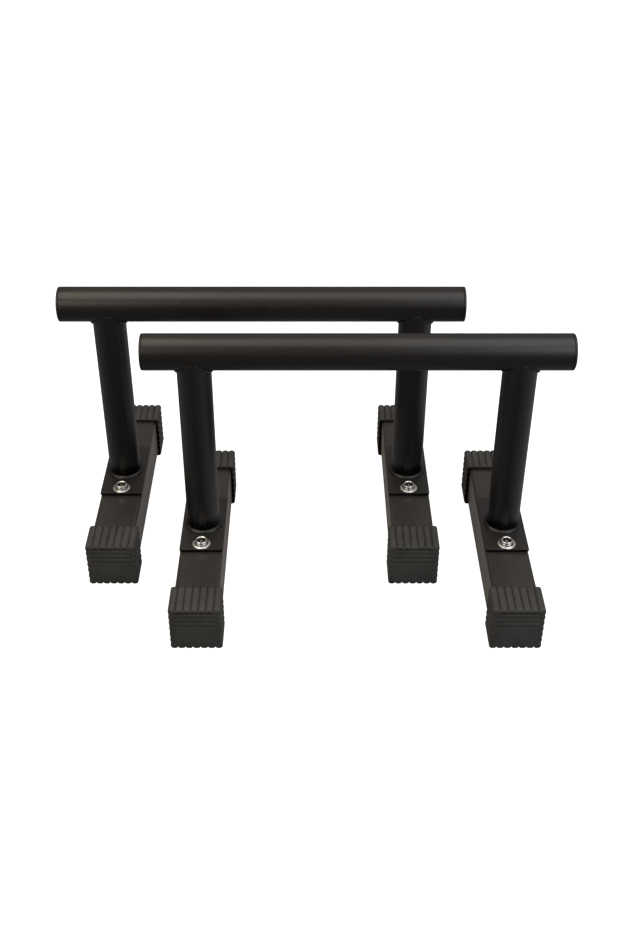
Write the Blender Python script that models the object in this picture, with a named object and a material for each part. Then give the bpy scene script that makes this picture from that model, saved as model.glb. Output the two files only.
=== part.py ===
"""A pair of low steel parallel bars (parallettes), nested side by side on the floor.

Each bar is a round handle tube welded on two round uprights. Each upright is welded on a base plate,
and each plate is bolted down on a square foot tube that has a ribbed rubber cap on both ends.
Metres, +Z up, handles along X. The origin is on the floor, midway between the two bars.
"""
from math import asin, cos, pi, radians, sin, sqrt

import bmesh
import bpy
from mathutils import Vector

# The pair
STAGGER_X = 0.106            # how far the rear bar stands to the left of the front bar
SPACING_Y = 0.108            # how far the rear bar stands behind the front bar
GAP = 0.0003                 # clearance kept between pieces that touch

# Handle and its plastic end caps
HANDLE_LENGTH = 0.465        # over both end caps
HANDLE_TOP = 0.311           # highest point of the handle above the floor
HANDLE_RADIUS = 0.020
HANDLE_WALL = 0.002
END_CAP_FLANGE = 0.003
END_CAP_BEVEL = 0.001
END_CAP_BARREL = 0.016
END_CAP_WALL = 0.002

# Uprights and their weld beads
UPRIGHT_PITCH = 0.3525       # centre to centre, along the handle
UPRIGHT_RADIUS = 0.019
UPRIGHT_WALL = 0.002
TOP_WELD_LEG = 0.003
FOOT_WELD_LEG = 0.003
WELD_CROWN = 0.1             # how far a bead bulges beyond a flat fillet, as a share of its leg

# Ribbed rubber foot caps
FOOT_LENGTH = 0.304          # over both caps
CAP_SIZE = 0.058             # width and height over the ribs
CAP_DEPTH = 0.039
CAP_END_WALL = 0.005
RIBS_PER_SIDE = 7
RIB_PITCH = 0.0083
RIB_LAND = 0.0052
RIB_SLOPE = 0.0006
RIB_DEPTH = 0.0015

# Foot tubes and base plates
TUBE_SIZE = 0.050
TUBE_WALL = 0.002
TUBE_CORNER = 0.004
PLATE_LENGTH = 0.100
PLATE_WIDTH = 0.050
PLATE_THICKNESS = 0.004
PLATE_CORNER = 0.002

# M8 fasteners, two to a plate
BOLT_OFFSET = 0.0395         # from the upright's axis, along Y
BOLT_HOLE_RADIUS = 0.0044
BOLT_LENGTH = 0.020
BOLT_RADIUS = 0.0039
BOLT_TIP_CHAMFER = 0.0006
HEAD_RADIUS = 0.007
HEAD_HEIGHT = 0.0044
HEAD_FLAT_RADIUS = 0.0037
HEAD_SHOULDER = (0.0060, 0.0030)    # radius and height of the dome's middle
HEAD_RIM_HEIGHT = 0.0008
SOCKET_ACROSS_FLATS = 0.005
SOCKET_DEPTH = 0.0026
WASHER_OUTER = 0.0105
WASHER_INNER = 0.0043
WASHER_THICKNESS = 0.0016
NUT_ACROSS_FLATS = 0.013
NUT_HEIGHT = 0.0065
NUT_BORE_RADIUS = 0.0042

# Facets
TUBE_SEGMENTS = 28
BOLT_SEGMENTS = 16
NUT_POINTS = 12              # a corner and a middle of a flat, six times
CORNER_SEGMENTS = 3
SHARP_ANGLE = radians(35)

# Sizes that follow from the ones above
HANDLE_AXIS_Z = HANDLE_TOP - HANDLE_RADIUS
TUBE_MID_Z = CAP_SIZE / 2
TUBE_TOP_Z = TUBE_MID_Z + TUBE_SIZE / 2
TUBE_LENGTH = FOOT_LENGTH - 2 * (CAP_END_WALL + GAP)
PLATE_Z = TUBE_TOP_Z + GAP
UPRIGHT_Z = PLATE_Z + PLATE_THICKNESS + GAP
WASHER_Z = UPRIGHT_Z
HEAD_Z = WASHER_Z + WASHER_THICKNESS + GAP
NUT_Z = TUBE_TOP_Z - TUBE_WALL - GAP - NUT_HEIGHT

BARS = (("front", STAGGER_X / 2, -SPACING_Y / 2), ("rear", -STAGGER_X / 2, SPACING_Y / 2))
SIDES = (("left", -UPRIGHT_PITCH / 2), ("right", UPRIGHT_PITCH / 2))
ENDS = (("near", -1), ("far", 1))

ALONG_X = (0.0, pi / 2, 0.0)          # turns a piece's own +Z to +X
ALONG_MINUS_X = (0.0, -pi / 2, 0.0)   # turns a piece's own +Z to -X
ALONG_MINUS_Y = (pi / 2, 0.0, 0.0)    # turns a piece's own +Z to -Y and its +Y to +Z


def clear_scene():
    for obj in list(bpy.data.objects):
        bpy.data.objects.remove(obj, do_unlink=True)


def make_material(name, color, roughness, metallic):
    mat = bpy.data.materials.new(name)
    mat.use_nodes = True
    shader = mat.node_tree.nodes["Principled BSDF"]
    shader.inputs["Base Color"].default_value = (*color, 1.0)
    shader.inputs["Roughness"].default_value = roughness
    shader.inputs["Metallic"].default_value = metallic
    mat.diffuse_color = (*color, 1.0)
    return mat


def make_materials():
    return {
        "handle": make_material("handle_powder_coat", (0.018, 0.017, 0.016), 0.45, 0.0),
        "upright": make_material("upright_powder_coat", (0.017, 0.016, 0.015), 0.45, 0.0),
        "plate": make_material("plate_powder_coat", (0.020, 0.019, 0.018), 0.5, 0.0),
        "tube": make_material("tube_powder_coat", (0.019, 0.018, 0.017), 0.5, 0.0),
        "end_cap": make_material("end_cap_plastic", (0.014, 0.014, 0.014), 0.55, 0.0),
        "foot_cap": make_material("foot_cap_rubber", (0.022, 0.022, 0.021), 0.8, 0.0),
        "bolt": make_material("bolt_zinc", (0.72, 0.72, 0.70), 0.25, 1.0),
        "washer": make_material("washer_zinc", (0.68, 0.68, 0.66), 0.3, 1.0),
        "nut": make_material("nut_zinc", (0.55, 0.55, 0.53), 0.4, 1.0),
    }


# ---- basic shapes

def circle_angles(segments):
    return [2 * pi * i / segments for i in range(segments)]


def join_rings(bm, rings, closed):
    """Skin rings of vertices. A ring of one vertex is a pole; closed joins the last ring to the first."""
    pairs = list(zip(rings, rings[1:]))
    if closed:
        pairs.append((rings[-1], rings[0]))
    for lower, upper in pairs:
        count = max(len(lower), len(upper))
        for i in range(count):
            j = (i + 1) % count
            if len(lower) == 1:
                bm.faces.new((lower[0], upper[j], upper[i]))
            elif len(upper) == 1:
                bm.faces.new((lower[i], lower[j], upper[0]))
            else:
                bm.faces.new((lower[i], lower[j], upper[j], upper[i]))
    bmesh.ops.recalc_face_normals(bm, faces=bm.faces)


def turned(profile, segments, closed=False):
    """A shape turned about Z from (radius, height) points."""
    bm = bmesh.new()
    rings = []
    for radius, height in profile:
        if radius == 0.0:
            rings.append([bm.verts.new((0.0, 0.0, height))])
        else:
            rings.append([bm.verts.new((radius * cos(a), radius * sin(a), height))
                          for a in circle_angles(segments)])
    join_rings(bm, rings, closed)
    return bm


def extruded(outline, depth):
    """A prism on an outline of (x, y) points, from z = 0 to z = depth."""
    bm = bmesh.new()
    base = bm.faces.new([bm.verts.new((x, y, 0.0)) for x, y in outline])
    raised = bmesh.ops.extrude_face_region(bm, geom=[base])["geom"]
    top = [item for item in raised if isinstance(item, bmesh.types.BMVert)]
    bmesh.ops.translate(bm, verts=top, vec=(0.0, 0.0, depth))
    bmesh.ops.recalc_face_normals(bm, faces=bm.faces)
    return bm


def rounded_rectangle(width, height, radius):
    """Outline points of a rectangle with round corners, centred on the origin."""
    points = []
    for quarter, (side_x, side_y) in enumerate(((1, 1), (-1, 1), (-1, -1), (1, -1))):
        center_x = side_x * (width / 2 - radius)
        center_y = side_y * (height / 2 - radius)
        for step in range(CORNER_SEGMENTS + 1):
            angle = (quarter + step / CORNER_SEGMENTS) * pi / 2
            points.append((center_x + radius * cos(angle), center_y + radius * sin(angle)))
    return points


def ribbed_square():
    """Outline points of the foot cap: broad ribs with narrow grooves between them on its four sides."""
    half = CAP_SIZE / 2
    side = []
    for rib in range(RIBS_PER_SIDE):
        middle = (rib - (RIBS_PER_SIDE - 1) / 2) * RIB_PITCH
        side.append((middle - RIB_LAND / 2, half))
        side.append((middle + RIB_LAND / 2, half))
        if rib < RIBS_PER_SIDE - 1:
            side.append((middle + RIB_LAND / 2 + RIB_SLOPE, half - RIB_DEPTH))
            side.append((middle + RIB_PITCH - RIB_LAND / 2 - RIB_SLOPE, half - RIB_DEPTH))
    outline = []
    for _ in range(4):
        outline += side
        side = [(y, -x) for x, y in side]
    return outline


def hexagon(across_flats):
    corner_radius = across_flats / sqrt(3)
    return [(corner_radius * cos(a), corner_radius * sin(a)) for a in circle_angles(6)]


def repeated(shape, offsets):
    """One bmesh that holds a copy of shape at each offset."""
    mesh = bpy.data.meshes.new("copy")
    shape.to_mesh(mesh)
    shape.free()
    bm = bmesh.new()
    for offset in offsets:
        before = len(bm.verts)
        bm.from_mesh(mesh)
        bm.verts.ensure_lookup_table()
        bmesh.ops.translate(bm, verts=bm.verts[before:], vec=offset)
    bpy.data.meshes.remove(mesh)
    return bm


# ---- the pieces

def handle_tube_shape():
    half = HANDLE_LENGTH / 2 - END_CAP_FLANGE - GAP
    inner = HANDLE_RADIUS - HANDLE_WALL
    profile = [(HANDLE_RADIUS, -half), (HANDLE_RADIUS, half), (inner, half), (inner, -half)]
    return turned(profile, TUBE_SEGMENTS, closed=True)


def end_cap_shape():
    """A plug whose outer face is at z = 0 and whose hollow barrel runs down into the handle tube."""
    barrel = HANDLE_RADIUS - HANDLE_WALL - GAP
    barrel_end = -END_CAP_FLANGE - END_CAP_BARREL
    profile = [
        (0.0, 0.0),
        (HANDLE_RADIUS - END_CAP_BEVEL, 0.0),
        (HANDLE_RADIUS, -END_CAP_BEVEL),
        (HANDLE_RADIUS, -END_CAP_FLANGE),
        (barrel, -END_CAP_FLANGE),
        (barrel, barrel_end),
        (barrel - END_CAP_WALL, barrel_end),
        (barrel - END_CAP_WALL, -END_CAP_FLANGE),
        (0.0, -END_CAP_FLANGE),
    ]
    return turned(profile, TUBE_SEGMENTS)


def upright_wall_points(angle):
    """One slice through the upright's wall and its two weld beads, from the inner foot edge round to
    the inner top edge. The top follows the underside of the handle, as a coped tube end does."""
    outward = Vector((cos(angle), sin(angle), 0.0))
    cope_radius = HANDLE_RADIUS + GAP
    axis_height = HANDLE_AXIS_Z - UPRIGHT_Z
    inner = UPRIGHT_RADIUS - UPRIGHT_WALL

    def on_handle(x, turn):
        return Vector((x, cope_radius * sin(turn), axis_height - cope_radius * cos(turn)))

    def bead_crown(first, second, leg, lean):
        bulge = outward + Vector((0.0, 0.0, lean))
        return (first + second) / 2 + bulge * WELD_CROWN * leg

    outer_turn = asin(UPRIGHT_RADIUS * sin(angle) / cope_radius)
    inner_turn = asin(inner * sin(angle) / cope_radius)
    joint = on_handle(UPRIGHT_RADIUS * cos(angle), outer_turn)
    joint_toe = on_handle((UPRIGHT_RADIUS + TOP_WELD_LEG) * cos(angle),
                          outer_turn + TOP_WELD_LEG * sin(angle) / cope_radius)
    joint_low = joint - Vector((0.0, 0.0, TOP_WELD_LEG))
    foot_toe = outward * (UPRIGHT_RADIUS + FOOT_WELD_LEG)
    foot_high = outward * UPRIGHT_RADIUS + Vector((0.0, 0.0, FOOT_WELD_LEG))
    return [
        outward * inner,
        foot_toe,
        bead_crown(foot_toe, foot_high, FOOT_WELD_LEG, 1.0),
        foot_high,
        joint_low,
        bead_crown(joint_low, joint_toe, TOP_WELD_LEG, -1.0),
        joint_toe,
        joint,
        on_handle(inner * cos(angle), inner_turn),
    ]


def upright_shape():
    bm = bmesh.new()
    slices = [upright_wall_points(angle) for angle in circle_angles(TUBE_SEGMENTS)]
    rings = [[bm.verts.new(point) for point in ring] for ring in zip(*slices)]
    join_rings(bm, rings, closed=True)
    return bm


def base_plate_shape():
    return extruded(rounded_rectangle(PLATE_WIDTH, PLATE_LENGTH, PLATE_CORNER), PLATE_THICKNESS)


def square_bar(size, corner_radius, length):
    return extruded(rounded_rectangle(size, size, corner_radius), length)


def foot_cap_shape():
    return extruded(ribbed_square(), CAP_DEPTH)


def bolt_holes_shape():
    """The two holes that run down through a base plate and the top wall of its foot tube."""
    profile = [(0.0, 0.0), (BOLT_HOLE_RADIUS, 0.0), (BOLT_HOLE_RADIUS, TUBE_SIZE), (0.0, TUBE_SIZE)]
    hole = turned(profile, BOLT_SEGMENTS)
    return repeated(hole, [(0.0, end * BOLT_OFFSET, 0.0) for _, end in ENDS])


def bolt_shape():
    """A button-head bolt with the underside of its head at z = 0."""
    profile = [
        (0.0, HEAD_HEIGHT),
        (HEAD_FLAT_RADIUS, HEAD_HEIGHT),
        HEAD_SHOULDER,
        (HEAD_RADIUS, HEAD_RIM_HEIGHT),
        (HEAD_RADIUS, 0.0),
        (BOLT_RADIUS, 0.0),
        (BOLT_RADIUS, BOLT_TIP_CHAMFER - BOLT_LENGTH),
        (BOLT_RADIUS - BOLT_TIP_CHAMFER, -BOLT_LENGTH),
        (0.0, -BOLT_LENGTH),
    ]
    return turned(profile, BOLT_SEGMENTS)


def washer_shape():
    profile = [(WASHER_INNER, 0.0), (WASHER_OUTER, 0.0), (WASHER_OUTER, WASHER_THICKNESS),
               (WASHER_INNER, WASHER_THICKNESS)]
    return turned(profile, BOLT_SEGMENTS, closed=True)


def nut_shape():
    """A hexagon nut: each ring has a point at every corner and in the middle of every flat."""
    bm = bmesh.new()
    corner_radius = NUT_ACROSS_FLATS / sqrt(3)
    rings = []
    for height, hexagonal in ((0.0, True), (NUT_HEIGHT, True), (NUT_HEIGHT, False), (0.0, False)):
        ring = []
        for index, angle in enumerate(circle_angles(NUT_POINTS)):
            flat_radius = NUT_ACROSS_FLATS / 2 if index % 2 else corner_radius
            radius = flat_radius if hexagonal else NUT_BORE_RADIUS
            ring.append(bm.verts.new((radius * cos(angle), radius * sin(angle), height)))
        rings.append(ring)
    join_rings(bm, rings, closed=True)
    return bm


# ---- placing them

def add_object(name, bm, parent, location, rotation=(0.0, 0.0, 0.0), mat=None):
    mesh = bpy.data.meshes.new(name)
    bm.to_mesh(mesh)
    bm.free()
    mesh.shade_smooth()
    mesh.set_sharp_from_angle(angle=SHARP_ANGLE)
    if mat:
        mesh.materials.append(mat)
    obj = bpy.data.objects.new(name, mesh)
    bpy.context.collection.objects.link(obj)
    obj.parent = parent
    obj.location = location
    obj.rotation_euler = rotation
    return obj


def add_cutter(name, bm, parent, location, rotation=(0.0, 0.0, 0.0)):
    cutter = add_object(name, bm, parent, location, rotation)
    cutter.hide_render = True
    cutter.display_type = "WIRE"
    return cutter


def cut(obj, cutter):
    modifier = obj.modifiers.new("cut_" + cutter.name, "BOOLEAN")
    modifier.operation = "DIFFERENCE"
    modifier.solver = "EXACT"
    modifier.object = cutter


def build_foot(prefix, side, x, frame, mats):
    """One foot: its tube, two rubber caps, base plate, upright and two sets of fasteners."""
    bolt_holes = add_cutter(f"{prefix}_bolt_holes_{side}", bolt_holes_shape(), frame, (x, 0.0, TUBE_MID_Z))
    bore = add_cutter(f"{prefix}_tube_bore_{side}",
                      square_bar(TUBE_SIZE - 2 * TUBE_WALL, TUBE_CORNER - TUBE_WALL, FOOT_LENGTH),
                      frame, (x, FOOT_LENGTH / 2, TUBE_MID_Z), ALONG_MINUS_Y)
    pocket_length = FOOT_LENGTH - 2 * CAP_END_WALL
    pocket = add_cutter(f"{prefix}_cap_pocket_{side}",
                        square_bar(TUBE_SIZE + 2 * GAP, TUBE_CORNER, pocket_length),
                        frame, (x, pocket_length / 2, TUBE_MID_Z), ALONG_MINUS_Y)

    tube = add_object(f"{prefix}_foot_tube_{side}", square_bar(TUBE_SIZE, TUBE_CORNER, TUBE_LENGTH),
                      frame, (x, TUBE_LENGTH / 2, TUBE_MID_Z), ALONG_MINUS_Y, mats["tube"])
    cut(tube, bore)
    cut(tube, bolt_holes)
    plate = add_object(f"{prefix}_base_plate_{side}", base_plate_shape(), frame,
                       (x, 0.0, PLATE_Z), mat=mats["plate"])
    cut(plate, bolt_holes)
    add_object(f"{prefix}_upright_{side}", upright_shape(), frame, (x, 0.0, UPRIGHT_Z), mat=mats["upright"])

    for end_name, end in ENDS:
        cap_y = FOOT_LENGTH / 2 if end > 0 else CAP_DEPTH - FOOT_LENGTH / 2
        cap = add_object(f"{prefix}_foot_cap_{side}_{end_name}", foot_cap_shape(), frame,
                         (x, cap_y, TUBE_MID_Z), ALONG_MINUS_Y, mats["foot_cap"])
        cut(cap, pocket)
        build_fasteners(prefix, f"{side}_{end_name}", x, end * BOLT_OFFSET, frame, mats)


def build_fasteners(prefix, suffix, x, y, frame, mats):
    """A bolt with its flat washer above the plate and its nut inside the foot tube."""
    socket_z = HEAD_Z + HEAD_HEIGHT - SOCKET_DEPTH
    socket = add_cutter(f"{prefix}_socket_{suffix}", extruded(hexagon(SOCKET_ACROSS_FLATS), 2 * SOCKET_DEPTH),
                        frame, (x, y, socket_z))
    bolt = add_object(f"{prefix}_bolt_{suffix}", bolt_shape(), frame, (x, y, HEAD_Z), mat=mats["bolt"])
    cut(bolt, socket)
    add_object(f"{prefix}_washer_{suffix}", washer_shape(), frame, (x, y, WASHER_Z), mat=mats["washer"])
    add_object(f"{prefix}_nut_{suffix}", nut_shape(), frame, (x, y, NUT_Z), mat=mats["nut"])


def build_bar(prefix, x, y, mats):
    """One whole bar, on an empty that stands on the floor under the middle of its handle."""
    frame = bpy.data.objects.new(f"{prefix}_bar_frame", None)
    bpy.context.collection.objects.link(frame)
    frame.location = (x, y, 0.0)
    add_object(f"{prefix}_handle_tube", handle_tube_shape(), frame, (0.0, 0.0, HANDLE_AXIS_Z), ALONG_X,
               mats["handle"])
    for side, turn, sign in (("left", ALONG_MINUS_X, -1), ("right", ALONG_X, 1)):
        add_object(f"{prefix}_handle_cap_{side}", end_cap_shape(), frame,
                   (sign * HANDLE_LENGTH / 2, 0.0, HANDLE_AXIS_Z), turn, mats["end_cap"])
    for side, foot_x in SIDES:
        build_foot(prefix, side, foot_x, frame, mats)


def main():
    clear_scene()
    mats = make_materials()
    for prefix, x, y in BARS:
        build_bar(prefix, x, y, mats)
    bpy.context.view_layer.update()


main()
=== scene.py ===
"""A pair of low steel parallel bars (parallettes) on a pale floor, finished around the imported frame.

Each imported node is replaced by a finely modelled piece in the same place: powder-coated tubes with weld
beads, plates with rounded edges, moulded rubber foot caps, plastic plugs and zinc fasteners. Metres, +Z up.
"""
from math import asin, atan2, ceil, cos, pi, radians, sin, sqrt, tan

import bmesh
import bpy
from mathutils import Matrix, Vector


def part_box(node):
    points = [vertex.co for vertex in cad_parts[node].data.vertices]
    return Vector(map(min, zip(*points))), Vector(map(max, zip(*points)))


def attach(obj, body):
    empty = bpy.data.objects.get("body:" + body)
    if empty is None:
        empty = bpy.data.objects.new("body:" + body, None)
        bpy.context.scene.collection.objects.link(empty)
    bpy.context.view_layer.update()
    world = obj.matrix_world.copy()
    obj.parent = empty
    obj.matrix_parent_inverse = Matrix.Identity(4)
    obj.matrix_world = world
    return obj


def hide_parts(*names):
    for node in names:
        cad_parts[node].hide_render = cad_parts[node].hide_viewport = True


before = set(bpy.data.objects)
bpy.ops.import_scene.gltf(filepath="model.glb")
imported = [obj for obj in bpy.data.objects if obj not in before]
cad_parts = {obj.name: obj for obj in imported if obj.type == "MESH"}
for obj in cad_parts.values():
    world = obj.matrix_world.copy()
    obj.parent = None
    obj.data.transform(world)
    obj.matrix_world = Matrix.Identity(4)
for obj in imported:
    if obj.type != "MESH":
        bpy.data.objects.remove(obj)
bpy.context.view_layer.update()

BARS = ("front", "rear")
SIDES = ("left", "right")
ENDS = ("near", "far")

# Camera
CAMERA_PLACE = (0.0027, -1.1686, 0.9395)
CAMERA_PITCH = radians(35.6)         # downwards from the horizon
LENS = 46.4                          # millimetres, on a 36 mm sensor along the frame's long side
SENSOR = 36.0

# Studio: how bright its walls are seen from the object, and how that changes along X, Y and Z
STUDIO_LEVEL = 0.12
STUDIO_SLOPE = (0.09, 0.05, -0.08)
STUDIO_SIDES = 0.22                  # added towards both sides, with the square of X
STUDIO_COLOR = (1.0, 0.965, 0.94)
BACKDROP_LEVEL = 1.1                 # how bright the background is to the camera

# Floor: white paper for the camera, over a dim sheet that shades the object
FLOOR_REACH = 30.0
FLOOR_HEIGHT = -0.0005
FLOOR_STEP = 0.0003
FLOOR_GLOW = 1.0
FLOOR_ROUGHNESS = 0.9
PAPER_TONE = 0.5
SHADE_TONE = 0.12

GAP = 0.0003                         # clearance that the frame keeps between pieces that touch

# Powder coat
COAT_CLOUD_SCALE = 14.0
COAT_GRAIN_SCALE = 1500.0
COAT_PEEL_SCALE = 330.0
COAT_PEEL_DEPTH = 0.00006
COAT_GRAIN_DEPTH = 0.00003
COAT_SHEEN_ROUGHNESS = 0.35
COAT_SHEEN_TINT = (1.0, 0.84, 0.72, 1.0)
COAT_SPECULAR = 0.5
DULL_SPECULAR = 0.1
# Dust and painted light: the colour that faces looking up are made lighter with
TOP_LIGHT_AND_DUST_COLOR = (0.060, 0.055, 0.049)
# Painted shade: near-black on the foot tubes' lower sides, and on the caps' mouths and lower edges
PAINTED_SHADE_COLOR = (0.0060, 0.0052, 0.0046)
LOW_SHADE_FULL = -0.022                  # heights from the foot tube's middle
LOW_SHADE_TOP = 0.012
# Painted shade: a near-black, dull band on each upright just above the foot's weld
FOOT_SHADE_COLOR = (0.0012, 0.0011, 0.0010)
FOOT_SHADE_EDGE = 0.0004
FOOT_SHADE_FULL = 0.011                  # heights above the upright's foot
FOOT_SHADE_TOP = 0.020

# Moulded rubber and plastic, and zinc plate
BLOOM_SCALE = 45.0
MOULD_GRAIN_SCALE = 2200.0
ZINC_CLOUD_SCALE = 260.0
ZINC_SCUFF_SCALE = 2600.0
ZINC_SCUFF_DEPTH = 0.000012
OBJECT_SHIFT = (3.1, 5.3, 7.7)       # how far the textures move from one piece to the next

# Fineness of the round surfaces
ROUND_STEPS = 128
BOLT_STEPS = 36
WELD_STEPS = 240
WASHER_STEPS = 64
NUT_STEPS = 60
DOME_STEPS = 8
SLOT_STEPS = 6
ARC_STEPS = 4
AXIS_RADIUS = 1e-7                   # a smaller radius counts as a point on the axis

# Handle
TUBE_EDGE = 0.0004
TUBE_WALL = 0.002
PLUG_DOME = 0.0006
PLUG_FACE_STEPS = 8
PLUG_GATE_RADIUS = 0.0011            # the small pit that the moulding gate leaves in the plug's face
PLUG_GATE_EDGE = 0.0014
PLUG_GATE_DEPTH = 0.0004
PLUG_GATE_LIP = 0.00005
PLUG_DOME_START = 0.002
PLUG_EDGE = 0.0014
PLUG_BARREL_WALL = 0.002
PLUG_FINS = 4
PLUG_FIN_HEIGHT = 0.0006
PLUG_FIN_SLOPE = 0.0003
PLUG_FIN_LAND = 0.0008
PLUG_FIN_SHARE = 0.7                 # of the fins' pitch that a fin takes
PLUG_FIN_START = 0.001               # below the flange
PLUG_FIN_MARGIN = 0.002              # of the barrel left without fins
PLUG_TIP_TAPER = 0.0006
PLUG_FLANGE_ROOT = 0.0004
PLUG_FLANGE_EDGE = 0.0003

# Uprights and weld beads
UPRIGHT_WALL = 0.002
WELD_RIPPLES = 42
WELD_ARC_STEPS = 9
WELD_CROWN = 0.17
WELD_RIPPLE = 0.055
WELD_WANDER = 0.10
FOOT_WELD_LEG = 0.003
TOP_WELD_LEG = 0.003
TOP_WELD_THIN = 0.35                 # how much of its leg is left up the handle's front and back
COLUMN_SHARES = (0.012, 0.05, 0.2, 0.4, 0.6, 0.8, 0.95, 0.988)   # between the foot's bead and the top's
BAR_SEED = 1.7                       # how much the welds differ from bar to bar and from side to side
SIDE_SEED = 0.9

# Foot tubes and base plates
FOOT_TUBE_CORNER = 0.004
PLATE_CORNER = 0.002
PLATE_EDGE = 0.0004
PLATE_UNDER_EDGE = 0.0014
BOLT_HOLE_RADIUS = 0.0044
HOLE_EDGE = 0.0003
TUBE_CORNER_STEPS = 8
PLATE_OVERLAP = 0.002                # how far under the plate's ends the foot tube has an edge loop

# Rubber foot caps
CAP_RIBS = 7
CAP_GROOVE_DEPTH = 0.0025
CAP_RIB_POWER = 4.2                  # higher makes the ribs flatter and the grooves narrower
CAP_CORNER = 0.0038
CAP_CORNER_LEAST = 0.0003
CAP_CORNER_STEPS = 6
CAP_SAMPLES = (0.02, 0.05, 0.09, 0.14, 0.2, 0.27, 0.36)    # from a groove, as shares of the ribs' pitch
CAP_FRONT_EDGE = 0.0026
CAP_TOE = 0.0024                     # how much more the end's lower edge is rounded
CAP_TOE_POWER = 1.5
CAP_FACE_MARGIN = 0.0004             # from the end's rounded edge in to its flat face
CAP_SIDE_SHARES = (0.2, 0.5, 0.8)    # of the cap's depth, where its sides have edge loops
CAP_MOUTH_EDGE = 0.0007
CAP_SHADE_HEIGHT = 0.0012                   # the height up to which a cap is painted near-black with shade near the floor
CAP_MOUTH_CHAMFER = 0.0009
CAP_WALL_END = 0.005
CAP_LINES = 4                        # moulded lines across the end face
CAP_LINE_TOP = 0.0058                # the first line, down from the cap's top
CAP_LINE_PITCH = 0.0063
CAP_LINE_HALF_HEIGHT = 0.0010
CAP_LINE_DEPTH = 0.0014
CAP_LINE_MARGIN = 0.0065
CAP_LINE_PROFILE = ((0.0, 0.0), (0.45, 0.7), (0.8, 1.0))    # (share narrowed, share of the depth)

# Bolts: the socket, the head and the shank
SOCKET_FLATS = 0.005
SOCKET_DEPTH = 0.0026
SOCKET_CHAMFER = 0.0003
SOCKET_CONE = 0.0008
SOCKET_FLOOR_RADIUS = 0.0021         # where the cone under the floor starts
SOCKET_FLOOR_DROP = 0.0001
SOCKET_FLOOR_SHARE = 0.97            # of the socket's width that its floor takes
SOCKET_FLOOR_EDGE = 0.0002
HEAD_DISH_RADIUS = 0.0045            # the sunk flat round the socket
HEAD_DISH_DEPTH = 0.0007
HEAD_TOP_RADIUS = 0.0060             # the crest of the head's rim
HEAD_DOME_HEIGHT = 0.0020            # from the crest down to the rim
HEAD_EDGE = 0.0002
CREST_SHARES = (0.15, 0.4, 0.7, 0.9)    # between the dish and the crest
SHANK_RADIUS = 0.0039
SHANK_EDGE = 0.0002
THREAD_PITCH = 0.00125
THREAD_DEPTH = 0.0006
THREAD_STEPS = 6                     # rings for each turn of the thread
THREAD_START = 0.0024                # below the head
THREAD_RUNOUT = 0.003                # of the shank's length that isn't threaded
THREAD_END = 0.0008                  # plain stretch at the tip
TIP_TAPER = 0.0003

# Washers and nuts
WASHER_BORE_RADIUS = 0.0043
WASHER_SEAT = 0.0074                 # flat under the bolt's head, falling away outside it
WASHER_STEP = 0.0088                 # a pressed line between the seat and the outer rim
WASHER_FALL = 0.0006
WASHER_EDGE = 0.0002
WASHER_ROLL = 0.0005
WASHER_BORE_EDGE = 0.0003
WASHER_LINE = 0.0001
NUT_BORE_RADIUS = 0.0042
NUT_EDGE = 0.0005
NUT_CHAMFER_SHARE = 0.97             # of the distance to the flats
NUT_CHAMFER_ANGLE = radians(30)

# Painted shade on the zinc: dark rings from an inner radius to an outer one
DISH_SHADE = (0.0016, 0.0048)          # in the head's dish, outside the socket's bright floor
SEAT_SHADE = (0.0, 0.0081)             # on the washer, where the head's side meets it
ZINC_SHADE_EDGE = 0.0004
ZINC_SHADE_COLOR = (0.06, 0.058, 0.054)


# ---- reading the frame

def middle(node):
    low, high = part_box(node)
    return (low + high) / 2


def extent(node):
    low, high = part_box(node)
    return high - low


# ---- outlines

def turn_between(start, end):
    """The signed angle from one 2D vector to another."""
    return atan2(start.x * end.y - start.y * end.x, start.dot(end))


def rounded_path(corners, steps=ARC_STEPS):
    """A closed outline through (x, y, radius) corners, each turned by an arc of its own radius."""
    path = []
    for index, (x, y, radius) in enumerate(corners):
        corner = Vector((x, y))
        if radius == 0:
            path.append(corner)
            continue
        before = (Vector(corners[index - 1][:2]) - corner).normalized()
        after = (Vector(corners[(index + 1) % len(corners)][:2]) - corner).normalized()
        half = abs(turn_between(before, after)) / 2
        center = corner + (before + after).normalized() * radius / sin(half)
        start = corner + before * radius / tan(half) - center
        end = corner + after * radius / tan(half) - center
        sweep = turn_between(start, end)
        for step in range(steps + 1):
            path.append(center + Matrix.Rotation(sweep * step / steps, 2) @ start)
    return path


def rectangle(width, height, radius, steps=ARC_STEPS):
    """A rectangle with round corners, centred on the origin, anticlockwise."""
    x = width / 2
    y = height / 2
    return rounded_path([(x, -y, radius), (x, y, radius), (-x, y, radius), (-x, -y, radius)], steps)


def angles(count):
    return [2 * pi * i / count for i in range(count)]


def hexagon_radius(angle, across_flats):
    """Distance from the axis to a hexagon's side at an angle."""
    sector = pi / 3
    return across_flats / 2 / cos((angle + sector / 2) % sector - sector / 2)


# ---- mesh building

def skin(bm, rings, loop=False):
    """Faces between closed rings of vertices. A ring of one vertex is a pole. loop joins the last ring to
    the first one."""
    pairs = list(zip(rings, rings[1:]))
    if loop:
        pairs.append((rings[-1], rings[0]))
    for lower, upper in pairs:
        count = max(len(lower), len(upper))
        for i in range(count):
            j = (i + 1) % count
            if len(lower) == 1:
                corners = (lower[0], upper[j], upper[i])
            elif len(upper) == 1:
                corners = (lower[i], lower[j], upper[0])
            else:
                corners = (lower[i], lower[j], upper[j], upper[i])
            bm.faces.new(corners)


def add_ring(bm, points):
    return [bm.verts.new(point) for point in points]


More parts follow.
